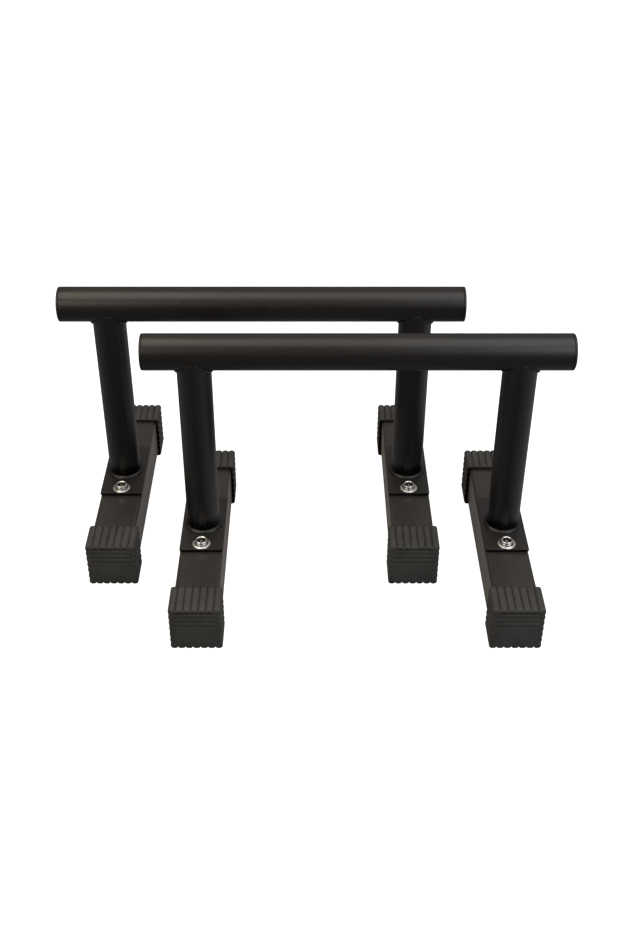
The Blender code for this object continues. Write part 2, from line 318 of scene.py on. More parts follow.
def turned(profile, steps=ROUND_STEPS, closed=False):
    """A shape turned about Z from (radius, height) points, some of them on the axis."""
    bm = bmesh.new()
    rings = []
    for radius, height in profile:
        if radius < AXIS_RADIUS:
            rings.append(add_ring(bm, [(0.0, 0.0, height)]))
        else:
            rings.append(add_ring(bm, [(radius * cos(a), radius * sin(a), height) for a in angles(steps)]))
    skin(bm, rings, loop=closed)
    return bm


def fill_flat(bm, loops, normal):
    """One flat face region bounded by closed loops of vertices, the first outside and the rest as holes."""
    edges = []
    for loop in loops:
        for first, second in zip(loop, loop[1:] + loop[:1]):
            edges.append(bm.edges.get((first, second)) or bm.edges.new((first, second)))
    bmesh.ops.triangle_fill(bm, use_beauty=True, use_dissolve=False, edges=edges, normal=normal)


def lofted(outline, levels):
    """Rings of one 2D outline at (inset, height) levels, as points along Z."""
    rings = []
    for inset, height in levels:
        rings.append([(point.x, point.y, height) for point in outline(inset)])
    return rings


def quarter_arc(radius, steps=ARC_STEPS):
    """(inset, rise) points of a rounded edge, from the flat face out to the side."""
    return [(radius * (1 - sin(a)), radius * (1 - cos(a)))
            for a in (pi / 2 * step / steps for step in range(steps + 1))]


def add_piece(name, bm, location, material, rotation=(0.0, 0.0, 0.0)):
    """A smooth-shaded object whose flat faces stay flat in the shading."""
    bmesh.ops.recalc_face_normals(bm, faces=bm.faces)
    mesh = bpy.data.meshes.new(name)
    bm.to_mesh(mesh)
    bm.free()
    mesh.shade_smooth()
    mesh.materials.append(material)
    return place(name, mesh, location, rotation)


def place(name, mesh, location, rotation=(0.0, 0.0, 0.0)):
    piece = bpy.data.objects.new(name, mesh)
    bpy.context.scene.collection.objects.link(piece)
    piece.location = location
    piece.rotation_euler = rotation
    sharpen = piece.modifiers.new("flat_faces", "WEIGHTED_NORMAL")
    sharpen.weight = 100
    sharpen.keep_sharp = True
    return piece


def stand_for(piece, bar, node):
    """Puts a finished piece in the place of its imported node."""
    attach(piece, f"{bar}_bar")
    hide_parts(node)


# ---- materials

def add_node(tree, kind, inputs=None, **settings):
    """A shader node with its settings and its inputs, which are values or other nodes' outputs."""
    node = tree.nodes.new(kind)
    for key, value in settings.items():
        setattr(node, key, value)
    for socket, value in (inputs or {}).items():
        if isinstance(value, bpy.types.NodeSocket):
            tree.links.new(value, node.inputs[socket])
        else:
            node.inputs[socket].default_value = value
    return node


def start_material(name):
    """An empty material with a Principled shader, and a texture place of its own for each piece."""
    material = bpy.data.materials.new(name)
    material.use_nodes = True
    tree = material.node_tree
    shader = tree.nodes["Principled BSDF"]
    coordinates = add_node(tree, "ShaderNodeTexCoord")
    info = add_node(tree, "ShaderNodeObjectInfo")
    offset = add_node(tree, "ShaderNodeVectorMath", {0: info.outputs["Random"], 1: OBJECT_SHIFT},
                      operation="MULTIPLY")
    shifted = add_node(tree, "ShaderNodeVectorMath", {
        0: coordinates.outputs["Object"], 1: offset.outputs[0]}, operation="ADD")
    return material, tree, shader, shifted.outputs[0]


def noise(tree, place_socket, scale, detail=2.0, roughness=0.5):
    return add_node(tree, "ShaderNodeTexNoise", {
        "Vector": place_socket, "Scale": scale, "Detail": detail, "Roughness": roughness}).outputs["Fac"]


def remap(tree, value, low, high, new_low, new_high):
    return add_node(tree, "ShaderNodeMapRange", {
        "Value": value, "From Min": low, "From Max": high, "To Min": new_low, "To Max": new_high,
    }).outputs["Result"]


def mixed_color(tree, factor, first, second):
    mix = add_node(tree, "ShaderNodeMix", data_type="RGBA")
    tree.links.new(factor, mix.inputs["Factor"])
    for socket, color in ((mix.inputs[6], first), (mix.inputs[7], second)):
        if isinstance(color, bpy.types.NodeSocket):
            tree.links.new(color, socket)
        else:
            socket.default_value = (*color, 1.0)
    return mix.outputs[2]


def add_bump(tree, shader, layers):
    """Stacks bump layers of (height socket, depth in metres)."""
    normal = None
    for height, depth in layers:
        inputs = {"Height": height, "Distance": depth, "Strength": 1.0}
        if normal:
            inputs["Normal"] = normal
        normal = add_node(tree, "ShaderNodeBump", inputs).outputs["Normal"]
    tree.links.new(normal, shader.inputs["Normal"])


def mask_along(tree, axis, full, none):
    """1 where a piece's own coordinate along an axis is at full or beyond, falling to 0 at none."""
    coordinates = add_node(tree, "ShaderNodeTexCoord").outputs["Object"]
    along = add_node(tree, "ShaderNodeSeparateXYZ", {"Vector": coordinates}).outputs[axis]
    return remap(tree, along, full, none, 1.0, 0.0)


def powder_coat(name, dark, light, rough_low, rough_high, sheen, top_light_and_dust=0.0, shaded_foot=False,
                shaded_low=False):
    """Satin black powder coat: orange peel, a fine sandy grain and faint cloudy unevenness. Faces that look
    up get dust and painted light, and their sides a duller specular; a band just above the foot's weld is
    painted near-black and dull with shade; and a foot tube, whose +Y side is up, is painted dark and dull
    towards the floor with shade."""
    material, tree, shader, place_socket = start_material(name)
    cloud = noise(tree, place_socket, COAT_CLOUD_SCALE, 3.0)
    grain = noise(tree, place_socket, COAT_GRAIN_SCALE, 2.0)
    peel = noise(tree, place_socket, COAT_PEEL_SCALE, 1.0)
    tone = remap(tree, cloud, 0.3, 0.7, 0.0, 0.7)
    speck = remap(tree, grain, 0.62, 0.8, 0.0, 0.3)
    both = add_node(tree, "ShaderNodeMath", {0: tone, 1: speck}, operation="ADD", use_clamp=True)
    color = mixed_color(tree, both.outputs[0], dark, light)
    # Dust and painted light: faces that look up get a lighter colour, and the sides a duller specular, which
    # paints shade on the plate's front edges
    if top_light_and_dust:
        facing = add_node(tree, "ShaderNodeNewGeometry").outputs["Normal"]
        upward = add_node(tree, "ShaderNodeSeparateXYZ", {"Vector": facing}).outputs["Z"]
        color = mixed_color(tree, remap(tree, upward, 0.3, 1.0, 0.0, top_light_and_dust), color, TOP_LIGHT_AND_DUST_COLOR)
        tree.links.new(remap(tree, upward, 0.3, 1.0, DULL_SPECULAR, COAT_SPECULAR),
                       shader.inputs["Specular IOR Level"])
    # Painted shade: the foot tube grows near-black and dull towards the floor
    if shaded_low:
        low_shade = mask_along(tree, "Y", LOW_SHADE_FULL, LOW_SHADE_TOP)
        color = mixed_color(tree, low_shade, color, PAINTED_SHADE_COLOR)
        tree.links.new(remap(tree, low_shade, 0.0, 1.0, COAT_SPECULAR, DULL_SPECULAR),
                       shader.inputs["Specular IOR Level"])
    # Painted shade: a near-black, dull band just above the foot's weld
    if shaded_foot:
        above_weld = mask_along(tree, "Z", FOOT_WELD_LEG + FOOT_SHADE_EDGE, FOOT_WELD_LEG)
        below_top = mask_along(tree, "Z", FOOT_SHADE_FULL, FOOT_SHADE_TOP)
        band = add_node(tree, "ShaderNodeMath", {0: above_weld, 1: below_top}, operation="MULTIPLY")
        foot_shade = band.outputs[0]
        color = mixed_color(tree, foot_shade, color, FOOT_SHADE_COLOR)
        tree.links.new(remap(tree, foot_shade, 0.0, 1.0, COAT_SPECULAR, DULL_SPECULAR),
                       shader.inputs["Specular IOR Level"])
    tree.links.new(color, shader.inputs["Base Color"])
    tree.links.new(remap(tree, peel, 0.3, 0.7, rough_low, rough_high), shader.inputs["Roughness"])
    shader.inputs["Specular IOR Level"].default_value = COAT_SPECULAR
    shader.inputs["Sheen Weight"].default_value = sheen
    shader.inputs["Sheen Roughness"].default_value = COAT_SHEEN_ROUGHNESS
    shader.inputs["Sheen Tint"].default_value = COAT_SHEEN_TINT
    add_bump(tree, shader, [(peel, COAT_PEEL_DEPTH), (grain, COAT_GRAIN_DEPTH)])
    return material


def moulded(name, dark, light, rough_low, rough_high, specular, grain_depth, painted_shade_stretches=()):
    """Moulded black rubber or plastic: a fine mould grain and a faint dusty bloom. It is painted near-black
    with shade along the given (axis, full, none) stretches."""
    material, tree, shader, place_socket = start_material(name)
    bloom = noise(tree, place_socket, BLOOM_SCALE, 4.0, 0.6)
    grain = noise(tree, place_socket, MOULD_GRAIN_SCALE, 2.0)
    color = mixed_color(tree, remap(tree, bloom, 0.35, 0.7, 0.0, 1.0), dark, light)
    # Painted shade: near-black along each stretch
    for axis, full, none in painted_shade_stretches:
        color = mixed_color(tree, mask_along(tree, axis, full, none), color, PAINTED_SHADE_COLOR)
    tree.links.new(color, shader.inputs["Base Color"])
    tree.links.new(remap(tree, bloom, 0.3, 0.7, rough_low, rough_high), shader.inputs["Roughness"])
    shader.inputs["Specular IOR Level"].default_value = specular
    add_bump(tree, shader, [(grain, grain_depth)])
    return material


def zinc(name, bright, dull, rough_low, rough_high, shade_ring=None):
    """Zinc plate: bright metal with faint cloudy dulling and fine scuffs. A ring of painted shade darkens it
    between the two radii given."""
    material, tree, shader, place_socket = start_material(name)
    cloud = noise(tree, place_socket, ZINC_CLOUD_SCALE, 3.0)
    scuff = noise(tree, place_socket, ZINC_SCUFF_SCALE, 3.0, 0.7)
    color = mixed_color(tree, remap(tree, cloud, 0.35, 0.7, 0.0, 1.0), bright, dull)
    # Painted shade: a dark ring between the two radii
    if shade_ring:
        inner, outer = shade_ring
        coordinates = add_node(tree, "ShaderNodeTexCoord")
        flat = add_node(tree, "ShaderNodeVectorMath", {
            0: coordinates.outputs["Object"], 1: (1.0, 1.0, 0.0)}, operation="MULTIPLY")
        radius = add_node(tree, "ShaderNodeVectorMath", {0: flat.outputs[0]}, operation="LENGTH")
        center = remap(tree, radius.outputs["Value"], inner, inner + ZINC_SHADE_EDGE, 0.0, 1.0)
        rim = remap(tree, radius.outputs["Value"], outer - ZINC_SHADE_EDGE, outer, 1.0, 0.0)
        shade_band = add_node(tree, "ShaderNodeMath", {0: center, 1: rim}, operation="MULTIPLY")
        color = mixed_color(tree, shade_band.outputs[0], color, ZINC_SHADE_COLOR)
    tree.links.new(color, shader.inputs["Base Color"])
    tree.links.new(remap(tree, scuff, 0.3, 0.7, rough_low, rough_high), shader.inputs["Roughness"])
    shader.inputs["Metallic"].default_value = 1.0
    add_bump(tree, shader, [(scuff, ZINC_SCUFF_DEPTH)])
    return material


def make_materials():
    cap_size = extent("front_foot_cap_left_near")
    # Painted shade: the caps' mouths, and their lower edges near the floor, are near-black
    mouth_shade = ("Z", cap_size.y - CAP_MOUTH_EDGE, cap_size.y - 2 * CAP_MOUTH_EDGE)
    low_cap_shade = ("Y", CAP_SHADE_HEIGHT - cap_size.z / 2, 4 * CAP_SHADE_HEIGHT - cap_size.z / 2)
    return {
        # One black powder coat at four darknesses: the foot tube's is lighter, partly its finish and partly
        # painted light on its lit top; the plate's is darker, partly painted shade on its front edges
        "handle": powder_coat("handle_coat", (0.0076, 0.0063, 0.0053), (0.0103, 0.0088, 0.0076),
                              0.33, 0.40, 0.0),
        # The uprights carry a band of painted shade above the foot's weld
        "upright": powder_coat("upright_coat", (0.0066, 0.0057, 0.0048), (0.0089, 0.0078, 0.0068),
                               0.33, 0.40, 0.0, shaded_foot=True),
        # The plate's faces that look up are lighter with dust and painted light
        "plate": powder_coat("plate_coat", (0.0035, 0.0031, 0.0027), (0.0050, 0.0045, 0.0040),
                             0.40, 0.48, 0.0, top_light_and_dust=0.24),
        # The foot tube is painted with shade towards the floor
        "tube": powder_coat("foot_tube_coat", (0.0255, 0.0232, 0.0208), (0.0336, 0.0308, 0.0278),
                            0.32, 0.39, 0.22, shaded_low=True),
        "plug": moulded("plug_plastic", (0.010, 0.0095, 0.009), (0.014, 0.0135, 0.013),
                        0.40, 0.52, 0.5, 0.00002),
        "cap": moulded("cap_rubber", (0.043, 0.042, 0.0395), (0.060, 0.059, 0.056),
                       0.62, 0.76, 0.3, 0.00005, (mouth_shade, low_cap_shade)),
        # Rings of painted shade in the bolt head's dish and on the washer where the head meets it
        "bolt": zinc("bolt_zinc", (0.95, 0.94, 0.92), (0.88, 0.87, 0.85), 0.22, 0.34, DISH_SHADE),
        "washer": zinc("washer_zinc", (0.95, 0.94, 0.92), (0.86, 0.85, 0.83), 0.28, 0.42, SEAT_SHADE),
        "nut": zinc("nut_zinc", (0.60, 0.59, 0.57), (0.48, 0.47, 0.45), 0.30, 0.46),
    }


# ---- handle

def handle_tube_shape(node):
    """A round tube with eased ends, along Z."""
    size = extent(node)
    half = size.x / 2
    outer = size.z / 2
    inner = outer - TUBE_WALL
    corners = [(outer, -half), (outer, half), (inner, half), (inner, -half)]
    return turned(rounded_path([(x, y, TUBE_EDGE) for x, y in corners], steps=2), closed=True)


def plug_shape(node, tube_node):
    """A plastic tube plug: a domed flange with its outer face at z = 0, and a finned barrel below it."""
    size = extent(node)
    outer = size.z / 2
    depth = size.x
    tube_end = extent(tube_node).x / 2
    plug_end = abs(middle(node).x - middle(tube_node).x) + depth / 2
    flange = plug_end - tube_end - GAP
    bore = extent(tube_node).z / 2 - TUBE_WALL
    barrel = bore - GAP - PLUG_FIN_HEIGHT
    face_radius = outer - PLUG_EDGE
    profile = [(0.0, -PLUG_GATE_DEPTH), (PLUG_GATE_RADIUS, -PLUG_GATE_DEPTH),
               (PLUG_GATE_EDGE, -PLUG_GATE_LIP)]
    for step in range(1, PLUG_FACE_STEPS + 1):
        radius = face_radius * step / PLUG_FACE_STEPS
        if radius > PLUG_DOME_START:
            profile.append((radius, -PLUG_DOME * (radius / outer) ** 2))
    edge_height = -PLUG_DOME * (face_radius / outer) ** 2
    profile += [(outer - inset, edge_height - rise) for inset, rise in quarter_arc(PLUG_EDGE)[1:]]
    profile += [(outer, -flange + PLUG_FLANGE_EDGE), (outer - PLUG_FLANGE_EDGE, -flange), (barrel, -flange)]
    pitch = (depth - flange - PLUG_FIN_MARGIN) / PLUG_FINS
    fin_outer = barrel + PLUG_FIN_HEIGHT
    for fin in range(PLUG_FINS):
        top = -flange - PLUG_FIN_START - fin * pitch
        profile += [(barrel, top), (fin_outer, top - PLUG_FIN_SLOPE), (fin_outer, top - PLUG_FIN_LAND),
                    (barrel, top - pitch * PLUG_FIN_SHARE)]
    inner = barrel - PLUG_BARREL_WALL
    root = -flange - PLUG_FLANGE_ROOT
    profile += [(barrel - PLUG_TIP_TAPER, -depth), (inner, -depth), (inner, root), (0.0, root)]
    return turned(profile)


def build_handle(bar, materials):
    tube_node = f"{bar}_handle_tube"
    tube = add_piece(f"{tube_node}_fine", handle_tube_shape(tube_node), middle(tube_node),
                     materials["handle"], (0.0, pi / 2, 0.0))
    stand_for(tube, bar, tube_node)
    for side, sign in zip(SIDES, (-1, 1)):
        node = f"{bar}_handle_cap_{side}"
        low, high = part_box(node)
        center = (low + high) / 2
        face_x = low.x if sign < 0 else high.x
        plug = add_piece(f"{node}_fine", plug_shape(node, tube_node), (face_x, center.y, center.z),
                         materials["plug"], (0.0, sign * pi / 2, 0.0))
        stand_for(plug, bar, node)


# ---- uprights

def wander(angle, seed):
    """A slow wavering of the weld's width round the tube, from -1 to 1."""
    slow = sin(2 * angle + seed)
    medium = 0.6 * sin(5 * angle + 2.3 * seed)
    quick = 0.4 * sin(11 * angle + 4.1 * seed)
    return (slow + medium + quick) / 2


def bead(first, second, leg, outward, angle, seed):
    """The points between a weld bead's two toes: a bulging arc with crescent ripples along the weld."""
    points = []
    for step in range(1, WELD_ARC_STEPS):
        share = step / WELD_ARC_STEPS
        swell = sin(pi * share)
        phase = WELD_RIPPLES * angle + 1.5 * swell + 1.8 * wander(angle, seed + 1.0)
        ripple = 0.5 + 0.5 * cos(phase)
        crown = WELD_CROWN + WELD_RIPPLE * ripple
        points.append(first.lerp(second, share) + outward * leg * swell * crown)
    return points


def upright_slice(angle, sizes, seed):
    """One slice through the upright's wall and both weld beads. The top follows the handle's underside."""
    outer, inner, cope, axis_height = sizes
    outward = Vector((cos(angle), sin(angle), 0.0))
    foot_leg = FOOT_WELD_LEG * (1 + WELD_WANDER * wander(angle, seed))
    top_leg = TOP_WELD_LEG * (1 + WELD_WANDER * wander(angle, seed + 2.0))

    def on_handle(x, turn):
        return Vector((x, cope * sin(turn), axis_height - cope * cos(turn)))

    turn = asin(outer * sin(angle) / cope)
    joint = on_handle(outer * cos(angle), turn)
    up_handle = top_leg * (TOP_WELD_THIN + (1 - TOP_WELD_THIN) * cos(angle) ** 2)
    top_toe = on_handle(outer * cos(angle) + up_handle * cos(angle), turn + up_handle * sin(angle) / cope)
    top_low = joint - Vector((0.0, 0.0, top_leg))
    foot_toe = outward * (outer + foot_leg)
    foot_high = outward * outer + Vector((0.0, 0.0, foot_leg))
    lean_up = (outward + Vector((0.0, 0.0, 1.0))).normalized()
    lean_down = (outward - Vector((0.0, 0.0, 1.0))).normalized()
    column = [foot_high.lerp(top_low, share) for share in COLUMN_SHARES]
    return [
        outward * inner,
        foot_toe,
        *bead(foot_toe, foot_high, foot_leg, lean_up, angle, seed),
        foot_high,
        *column,
        top_low,
        *bead(top_low, top_toe, top_leg, lean_down, angle, seed + 3.0),
        top_toe,
        joint,
        on_handle(inner * cos(angle), asin(inner * sin(angle) / cope)),
    ]


def upright_shape(node, handle_node, tube_radius, seed):
    """A coped round tube with a weld bead round its foot and another one under the handle."""
    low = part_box(node)[0]
    sizes = (tube_radius, tube_radius - UPRIGHT_WALL, extent(handle_node).z / 2 + GAP,
             middle(handle_node).z - low.z)
    slices = [upright_slice(angle, sizes, seed) for angle in angles(WELD_STEPS)]
    bm = bmesh.new()
    skin(bm, [add_ring(bm, ring) for ring in zip(*slices)], loop=True)
    return bm


def build_upright(bar, side, seed, materials):
    node = f"{bar}_upright_{side}"
    center = middle(node)
    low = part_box(node)[0]
    tube_radius = extent(node).x / 2 - FOOT_WELD_LEG
    upright = add_piece(f"{node}_fine", upright_shape(node, f"{bar}_handle_tube", tube_radius, seed),
                        (center.x, center.y, low.z), materials["upright"])
    stand_for(upright, bar, node)


# ---- base plates and foot tubes

def plate_shape(node, hole_offset):
    """A flat bar with rounded corners and edges and two drilled holes, on z = 0."""
    size = extent(node)

    def outline(inset):
        return rectangle(size.x - 2 * inset, size.y - 2 * inset, PLATE_CORNER - inset / 2)

    levels = quarter_arc(PLATE_UNDER_EDGE, 4)
    levels += [(inset, size.z - rise) for inset, rise in reversed(quarter_arc(PLATE_EDGE, 3))]
    bm = bmesh.new()
    rings = [add_ring(bm, ring) for ring in lofted(outline, levels)]
    skin(bm, rings)
    bottom = [rings[0]]
    top = [rings[-1]]
    for end in (-1, 1):
        hole = []
        hole_levels = ((HOLE_EDGE, 0.0), (0.0, HOLE_EDGE), (0.0, size.z - HOLE_EDGE), (HOLE_EDGE, size.z))
        for grow, height in hole_levels:
            radius = BOLT_HOLE_RADIUS + grow
            hole.append(add_ring(bm, [(radius * cos(a), end * hole_offset + radius * sin(a), height)
                                      for a in angles(BOLT_STEPS)]))
        skin(bm, hole)
        bottom.append(hole[0])
        top.append(hole[-1])
    fill_flat(bm, bottom, (0.0, 0.0, -1.0))
    fill_flat(bm, top, (0.0, 0.0, 1.0))
    return bm


def foot_tube_shape(node, plate_length):
    """A square tube with rounded corners, along Z, with its +Y face up."""
    size = extent(node)
    half = size.y / 2
    outer = rectangle(size.x, size.z, FOOT_TUBE_CORNER, TUBE_CORNER_STEPS)
    inner = rectangle(size.x - 2 * TUBE_WALL, size.z - 2 * TUBE_WALL, FOOT_TUBE_CORNER - TUBE_WALL,
                      TUBE_CORNER_STEPS)
    under_plate = plate_length / 2 - PLATE_OVERLAP
    bm = bmesh.new()
    rings = []
    for outline, heights in ((outer, (-half, -under_plate, under_plate, half)),
                             (inner, (half, under_plate, -under_plate, -half))):
        for height in heights:
            rings.append(add_ring(bm, [(point.x, point.y, height) for point in outline]))
    skin(bm, rings, loop=True)
    return bm


def drill(piece, centers, radius, depth):
    """Cuts vertical holes down through a piece at the given places."""
    for center in centers:
        bm = turned([(0.0, -depth), (radius, -depth), (radius, depth), (0.0, depth)], BOLT_STEPS)
        drill_bit = add_piece("drill_bit", bm, center, piece.data.materials[0])
        cut = piece.modifiers.new("hole", "BOOLEAN")
        cut.operation = "DIFFERENCE"
        cut.solver = "EXACT"
        cut.object = drill_bit
        piece.modifiers.move(len(piece.modifiers) - 1, 0)
        bpy.context.view_layer.update()
        flat_faces = piece.modifiers["flat_faces"]
        flat_faces.show_viewport = False
        drilled = bpy.data.meshes.new_from_object(
            piece.evaluated_get(bpy.context.evaluated_depsgraph_get()))
        flat_faces.show_viewport = True
        piece.modifiers.remove(cut)
        piece.data = drilled
        bpy.data.objects.remove(drill_bit)


def build_foot_steel(bar, side, materials):
    plate_node = f"{bar}_base_plate_{side}"
    tube_node = f"{bar}_foot_tube_{side}"
    hole_centers = [middle(f"{bar}_bolt_{side}_{end}") for end in ENDS]
    center = middle(plate_node)
    hole_offset = abs(hole_centers[0].y - center.y)
    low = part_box(plate_node)[0]
    plate = add_piece(f"{plate_node}_fine", plate_shape(plate_node, hole_offset),
                      (center.x, center.y, low.z), materials["plate"])
    stand_for(plate, bar, plate_node)

    tube_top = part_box(tube_node)[1].z
    tube = add_piece(f"{tube_node}_fine", foot_tube_shape(tube_node, extent(plate_node).y),
                     middle(tube_node), materials["tube"], (pi / 2, 0.0, 0.0))
    drill(tube, [(hole.x, hole.y, tube_top) for hole in hole_centers], BOLT_HOLE_RADIUS, 2 * TUBE_WALL)
    stand_for(tube, bar, tube_node)


# ---- rubber foot caps

def groove_depth(u, pitch):
    """How deep the ribbed side lies below its outline at a place along it: round ribs that meet in
    narrow grooves. The two outer ribs run flat into the corners."""
    last = (CAP_RIBS - 1) / 2
    rib = min(max(round(u / pitch), -last), last)
    away = u - rib * pitch
    if abs(rib) == last and away * rib > 0:
        return 0.0
    return CAP_GROOVE_DEPTH * min(1.0, abs(away) / (pitch / 2)) ** CAP_RIB_POWER


def side_samples(half, pitch):
    """Places along one ribbed side, closer together in the grooves."""
    offsets = [-0.5] + [-share for share in reversed(CAP_SAMPLES)] + [0.0] + list(CAP_SAMPLES)
    straight = half - CAP_CORNER
    places = []
    for groove in range(CAP_RIBS - 1):
        center = (groove - (CAP_RIBS / 2 - 1)) * pitch
        places += [center + share * pitch for share in offsets]
    last = (CAP_RIBS / 2 - 1) * pitch
    places += [last + 0.5 * pitch]
    return [-straight] + [u for u in places if abs(u) < straight - CAP_CORNER_LEAST] + [straight]


def ribbed_outline(half, relief, inset, lift=0.0):
    """The cap's outline, anticlockwise. relief scales the ribs, from 0 for plain sides to 1 for full ribs,
    and lift raises its lower side."""
    pitch = 2 * half / CAP_RIBS
    samples = side_samples(half, pitch)
    radius = max(CAP_CORNER - inset, CAP_CORNER_LEAST)
    corner_center = half - inset - radius
    shrink = corner_center / (half - CAP_CORNER)
    points = []
    for quarter in range(4):
        spin = Matrix.Rotation(quarter * pi / 2, 2)
        for u in samples:
            points.append(spin @ Vector((half - inset - relief * groove_depth(u, pitch), u * shrink)))
        for step in range(1, CAP_CORNER_STEPS):
            angle = step / CAP_CORNER_STEPS * pi / 2
            across = corner_center + radius * cos(angle)
            up = corner_center + radius * sin(angle)
            points.append(spin @ Vector((across, up)))
    for point in points:
        if point.y < 0:
            point.y *= 1 - lift / half
    return points


def slot_outline(width, height, center_y):
    """A long slot with round ends."""
    radius = height / 2
    points = []
    for sign in (1, -1):
        for step in range(SLOT_STEPS + 1):
            angle = -pi / 2 + pi * step / SLOT_STEPS
            points.append(Vector((sign * (width / 2 - radius + radius * cos(angle)),
                                  center_y + sign * radius * sin(angle))))
    return points


def cap_shape(node, tube_node):
    """A ribbed rubber cap with its end face at z = 0 and its mouth above, its +Y side up."""
    size = extent(node)
    half = size.x / 2
    depth = size.y
    bore_half = extent(tube_node).x / 2 + GAP
    bm = bmesh.new()

    rings = []
    levels = [(CAP_GROOVE_DEPTH + CAP_FRONT_EDGE + CAP_FACE_MARGIN, 0.0, 0.0, CAP_TOE)]
    for inset, rise in quarter_arc(CAP_FRONT_EDGE, 5):
        levels.append((inset, rise, 1.0, CAP_TOE * (inset / CAP_FRONT_EDGE) ** CAP_TOE_POWER))
    levels += [(0.0, depth * share, 1.0, 0.0) for share in CAP_SIDE_SHARES]
    for inset, rise in reversed(quarter_arc(CAP_MOUTH_EDGE, 3)):
        levels.append((inset, depth - rise, 1.0, 0.0))
    for inset, height, relief, lift in levels:
        rings.append(add_ring(bm, [(p.x, p.y, height) for p in ribbed_outline(half, relief, inset, lift)]))
    skin(bm, rings)

    end_loops = [rings[0]]
    for line_number in range(CAP_LINES):
        line = CAP_LINE_TOP + line_number * CAP_LINE_PITCH
        groove = []
        for shrink, height in CAP_LINE_PROFILE:
            outline = slot_outline(2 * (half - CAP_LINE_MARGIN) - 2 * shrink * CAP_LINE_HALF_HEIGHT,
                                   2 * CAP_LINE_HALF_HEIGHT * (1 - shrink), half - line)
            groove.append(add_ring(bm, [(p.x, p.y, height * CAP_LINE_DEPTH) for p in outline]))
        skin(bm, groove)
        fill_flat(bm, [groove[-1]], (0.0, 0.0, -1.0))
        end_loops.append(groove[0])
    fill_flat(bm, end_loops, (0.0, 0.0, -1.0))

    pocket = []
    for grow, height in ((CAP_MOUTH_CHAMFER, depth), (CAP_MOUTH_CHAMFER * 0.8, depth - CAP_MOUTH_CHAMFER),
                         (0.0, depth - CAP_MOUTH_CHAMFER * 1.8), (0.0, CAP_WALL_END)):
        outline = rectangle(2 * (bore_half + grow), 2 * (bore_half + grow), FOOT_TUBE_CORNER + grow)
        pocket.append(add_ring(bm, [(p.x, p.y, height) for p in outline]))
    skin(bm, pocket)
    fill_flat(bm, [rings[-1], pocket[0]], (0.0, 0.0, 1.0))
    fill_flat(bm, [pocket[-1]], (0.0, 0.0, 1.0))
    return bm


def build_caps(bar, side, materials, meshes):
    for end, sign in zip(ENDS, (-1, 1)):
        node = f"{bar}_foot_cap_{side}_{end}"
        low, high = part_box(node)
        face_y = low.y if sign < 0 else high.y
        center = middle(node)
        place_at = (center.x, face_y, center.z)
        turn = (pi / 2, 0.0, pi if sign < 0 else 0.0)
        if "cap" not in meshes:
            cap = add_piece(f"{node}_fine", cap_shape(node, f"{bar}_foot_tube_{side}"), place_at,
                            materials["cap"], turn)
            meshes["cap"] = cap.data
        else:
            cap = place(f"{node}_fine", meshes["cap"], place_at, turn)
        stand_for(cap, bar, node)


# ---- fasteners

def thread_radius(angle, height, outer):
    """A screw thread's surface: a triangle wave that climbs one pitch a turn."""
    phase = (height / THREAD_PITCH - angle / (2 * pi)) % 1.0
    return outer - THREAD_DEPTH * (1 - abs(2 * phase - 1))


def dome_arc(width, height):
    """(inset, drop) points of a button head's quarter ellipse, from its flat top out to its rim."""
    points = []
    for step in range(1, DOME_STEPS + 1):
        angle = pi / 2 * step / DOME_STEPS
        points.append((width * (1 - sin(angle)), height * (1 - cos(angle))))
    return points


